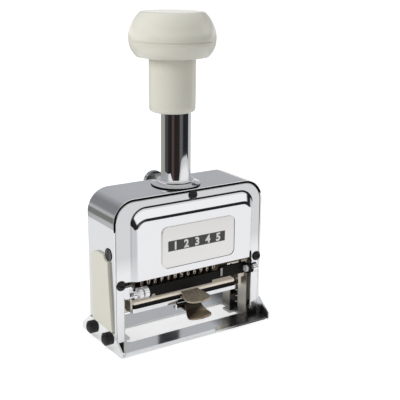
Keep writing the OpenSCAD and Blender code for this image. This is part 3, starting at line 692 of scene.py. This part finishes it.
def number_rings():
    """Raised mirrored numerals round each wheel, at ten of its twelve stops."""
    stop, narrow, to_middle = math.radians(30), 0.86, 0.45
    digits = [glyph(digit, 4.3, 0.24, 0.05) for digit in "0123456789"]
    for wheel in range(12):
        bm = bmesh.new()
        x = WHEEL_X + WHEEL_PITCH * wheel + to_middle
        for k in range(10):
            mesh = bpy.data.meshes.new("digit")
            digits[(k + 3 + wheel * 7) % 10].to_mesh(mesh)
            before = len(bm.verts)
            bm.from_mesh(mesh)
            bpy.data.meshes.remove(mesh)
            bm.verts.ensure_lookup_table()
            for v in bm.verts[before:]:
                a = stop * k - v.co.y / WHEEL_R
                out = WHEEL_R + v.co.z
                v.co = (x - v.co.x * narrow, -out * math.cos(a), AXLE_Z + out * math.sin(a))
        number = "%02d" % (wheel + 1)
        made("numerals_" + number, bm, TYPE_FACE, "wheel_%s_body" % number)


number_rings()


# ---------------------------------------------------------------- finger leaves

def smooth_step(t):
    t = min(max(t, 0), 1)
    return t * t * (3 - 2 * t)


def tip(t, start, power=2.4):
    """One up to start, then falling to zero at the leaf's end, as a rounded tip."""
    k = min(max((t - start) / (1 - start), 0), 1)
    return max(1 - k ** power, 0.0) ** (1 / power)


def leaf(name, outline, surface, extra, material, instead):
    """A thin curved sheet, with t from 0 at its root to 1 at its tip and u from -1 to 1 across.

    outline(t) gives the half width and the centre, and surface(u, t) gives y and z."""
    across, along, thick = 16, 22, 0.7
    bm = bmesh.new()
    for v in bmesh.ops.create_grid(bm, x_segments=across, y_segments=along, size=1)["verts"]:
        u, t = v.co.x, (v.co.y + 1) / 2
        half, centre = outline(t)
        v.co = (centre + u * half, *surface(u, t))
    bmesh.ops.recalc_face_normals(bm, faces=bm.faces)
    if sum(f.normal.z * f.calc_area() for f in bm.faces) < 0:
        bmesh.ops.reverse_faces(bm, faces=bm.faces)
    bmesh.ops.solidify(bm, geom=bm.faces[:], thickness=thick)
    extra(bm)
    made(name, bm, material, BODY_OF[instead], (instead,), 40)


def finger_leaves():
    """The two leaves that are pinched to pull the tray, each with the sheet that carries it."""
    least, edge_round = 0.05, 0.15
    root_y, root_z, length, slope = -10.9, 21.9, 11.2, math.tan(math.radians(10.5))

    def upper_outline(t):
        return max((4.9 + 2.0 * smooth_step(t / 0.7)) * tip(t, 0.62), least), 0.4

    def upper_surface(u, t):
        sag = 0.5 * math.sin(math.pi * t) * (1 - 0.6 * u * u)
        return root_y - length * t, root_z - slope * length * t - sag + 0.25 * u * u * t

    def riser(bm):
        block(bm, (-3.6, -11.7, 17.7), (4.4, -10.9, 21.75), edge_round)
        block(bm, (-3.6, -11.7, 17.7), (4.4, -4.8, 18.5), edge_round)

    leaf("finger_leaf_upper", upper_outline, upper_surface, riser, LEAF_TOP, "tab_upper")

    path = [(0.0, -12.9, 15.6), (0.25, -14.5, 13.3), (0.45, -16.4, 11.8), (0.6, -18.0, 11.1),
            (0.8, -19.8, 10.7), (1.0, -21.2, 10.6)]  # t, y and z along the middle of the lower leaf

    def lower_outline(t):
        return max((4.3 + 2.3 * smooth_step(t / 0.75)) * tip(t, 0.66), least), 1.2 + 0.3 * t

    def lower_surface(u, t):
        for (t0, y0, z0), (t1, y1, z1) in zip(path, path[1:]):
            if t <= t1 + 1e-6:
                k = (t - t0) / (t1 - t0)
                return y0 + (y1 - y0) * k, z0 + (z1 - z0) * k + 0.3 * u * u * t
        return path[-1][1:]

    def arm(bm):
        knuckle_r, knuckle_long = 1.2, 10.4
        block(bm, (-2.8, -14.9, 11.8), (5.2, -7.2, 12.6), edge_round)
        knuckle = bmesh.ops.create_cone(bm, cap_ends=True, segments=24, radius1=knuckle_r, radius2=knuckle_r,
                                        depth=knuckle_long)["verts"]
        put(bm, knuckle, 90, "Y", (0.4, -7.2, 12.9))

    leaf("finger_leaf_lower", lower_outline, lower_surface, arm, LEAF_LOW, "tab_lower")


finger_leaves()


# ---------------------------------------------------------------- stage

def bearings(stops):
    """Stops given in degrees from the front, positive to the right, as places on a ramp."""
    return [(degrees * (1 / 360) + 0.5, shade) for degrees, shade in stops]


def floor_look():
    """White where it is seen. Polished metal also sees where the white table ends, and what lies past it."""
    near_glow, black, white, grey = 0.22, 0.01, 0.8, (0.3, 0.31, 0.32)
    table_r, widest, ragged_by = 252, 120, 22
    dusk_r, dusk_wide, dusk_share = 216, 26, 0.6
    aside_r, aside_wide, aside_share = 70, 90, 0.75
    open_r, open_wide, glow_near, glow_open = 250, 900, 0.52, 0.75

    f = Finish("studio_floor")
    camera, glossy, through = f.rays("Camera", "Glossy", "Transmission")
    mirror = (glossy + through).clip()
    _, (x, y, _) = f.place()
    across = x - SHAFT_X
    reach = (across * across + y * y).root()
    turn = f.add("Math", {"operation": "ARCTAN2"}, i0=across, i1=y * -1) * (1 / math.tau) + 0.5
    far = f.ramp(turn, bearings((
        (-180, (0.36, 0.37, 0.34)), (-126, (0.36, 0.37, 0.34)), (-119, (0.06, 0.058, 0.055)),
        (-95, (0.05, 0.048, 0.046)), (-88, (0.008, 0.008, 0.009)), (-64, (0.008, 0.007, 0.007)),
        (-60, (0.09, 0.055, 0.05)), (-46, (0.07, 0.045, 0.04)), (-40, (0.01, 0.009, 0.009)),
        (-6, (0.02, 0.013, 0.013)), (4, (0.14, 0.135, 0.13)), (20, 0.1),
        (28, (0.01, 0.011, 0.016)), (74, (0.014, 0.016, 0.024)), (80, (0.6, 0.6, 0.62)),
        (180, (0.55, 0.55, 0.5)))))
    wide = f.ramp(turn, bearings((
        (-180, 0), (-92, 0), (-80, 0.27), (-68, 0), (-24, 0), (-10, 0.12), (8, 0.72), (13, 0.85),
        (20, 0.9), (30, 0.95), (60, 1.0), (76, 0.8), (100, 0.2), (180, 0))))
    aside = f.ramp(turn, bearings(((-180, 0), (-66, 0), (-52, 1), (-26, 1), (-8, 0), (180, 0))))
    ragged = f.noise(f.add("CombineXYZ", X=x, Y=y, Z=0.0), 0.09, 4, 0.7)
    edge = reach - wide * widest
    beyond = ((edge - ragged * ragged_by - table_r) / 5).clip()
    near_edge = ((edge - dusk_r) / dusk_wide).clip() * dusk_share
    dusk = near_edge.high(((reach - aside_r) / aside_wide).clip() * aside * aside_share)
    table = f.mix(dusk * mirror, (white, white, white), grey)
    diffuse = f.add("BsdfDiffuse", Color=f.mix(beyond * mirror, table, (black, black, black)))
    seen = f.mix(beyond, (near_glow, near_glow, near_glow), far)
    opening = ((reach - open_r) / open_wide).clip()
    plain = f.mix(opening, (glow_near, glow_near, glow_near), (glow_open, glow_open, glow_open))
    glow = f.add("Emission", Color=f.mix(mirror, plain, seen), Strength=(camera + mirror).clip())
    f.feed(f.out.inputs[0], f.add("AddShader", i0=diffuse, i1=glow))
    return f.material


def lay_floor():
    bm = bmesh.new()
    bmesh.ops.create_grid(bm, x_segments=1, y_segments=1, size=6)
    mesh = bpy.data.meshes.new("studio_floor")
    bm.to_mesh(mesh)
    bm.free()
    floor = shown("studio_floor", mesh)
    mesh.materials.append(floor_look())


def light(name, at, aim, size, power):
    """A soft lamp that polished metal doesn't see."""
    data = bpy.data.lights.new(name, "AREA")
    data.shape = "RECTANGLE"
    data.size, data.size_y = size
    data.energy = power
    lamp = shown(name, data)
    lamp.location = at
    lamp.rotation_mode = "QUATERNION"
    lamp.rotation_quaternion = (Vector(aim) - Vector(at)).to_track_quat("-Z", "Y")
    lamp.visible_glossy = False


class Sky(Finish):
    """The same node tools, on the world's tree."""

    def __init__(self, world):
        world.use_nodes = True
        self.tree = world.node_tree
        self.tree.nodes.clear()
        self.out = self.tree.nodes.new("ShaderNodeOutputWorld")


def hang_world():
    """White to the eye. Polished metal sees a studio, with a post and a curtain at the back right."""
    world = bpy.data.worlds.new("studio")
    bpy.context.scene.world = world
    f = Sky(world)
    x, y, z = f.split(f.add("TexCoord", out=GENERATED))
    front = f.ramp(z, ((0.0, 0.02), (0.12, 0.02), (0.17, 1.0), (0.42, 0.95), (0.55, 0.4), (1.0, 0.7)))
    behind = f.ramp(z, (
        (0.0, 0.95), (0.1, 0.9), (0.17, (0.46, 0.47, 0.49)), (0.6, (0.44, 0.45, 0.47)), (1.0, 0.7)))
    bearing = x / y.high(0.01)
    post = (bearing > 0.592) * (bearing < 0.63) * (z > 0.421)
    curtain = ((bearing - 0.7) / 0.03).clip() * 0.9 * (z > 0.39)
    behind = f.mix(post.high(curtain) * (z < 0.5), behind, (0.03, 0.03, 0.032))
    mirrored = f.mix(((0.15 - y) / 0.3).clip(), behind, front)
    camera, mirror = f.rays("Camera", "Glossy")
    toward = ((y * 0.55 - x * 0.75 + z * 0.36 + 1) * 0.5).clip()
    ambient = f.mix(mirror, f.mix(toward, (0.26, 0.26, 0.26), (0.76, 0.76, 0.77)), mirrored)
    f.feed(f.out.inputs[0], f.add("Background", Color=f.mix(camera, ambient, (1, 1, 1))))


def place_camera():
    """The camera looks down and to the right, and is rolled a little."""
    at = (-0.20588, -0.32937, 0.17849)
    az, down, roll = math.radians(33.64), math.radians(16.26), math.radians(0.69)
    data = bpy.data.cameras.new("camera")
    data.lens = 74.64
    data.sensor_width = 36
    data.clip_start, data.clip_end = 0.01, 50
    cam = shown("camera", data)
    ahead = Vector((math.sin(az) * math.cos(down), math.cos(az) * math.cos(down), -math.sin(down)))
    level = Vector((math.cos(az), -math.sin(az), 0))
    above = level.cross(ahead)
    right = level * math.cos(roll) + above * math.sin(roll)
    up = above * math.cos(roll) - level * math.sin(roll)
    turn = Matrix((right, up, -ahead)).transposed()
    cam.matrix_world = Matrix.Translation(at) @ turn.to_4x4()
    bpy.context.scene.camera = cam


lay_floor()
hang_world()
place_camera()
light("key", (-0.8, 0.0, 0.55), (0, 0, 0.08), (0.45, 0.45), 3.2)
light("fill", (0.9, -0.2, 0.5), (0, 0, 0.08), (0.5, 0.5), 2.0)
light("top", (0.0, 0.2, 0.95), (0, 0, 0.07), (0.6, 0.4), 1.2)

scene = bpy.context.scene
scene.view_settings.view_transform = "Standard"
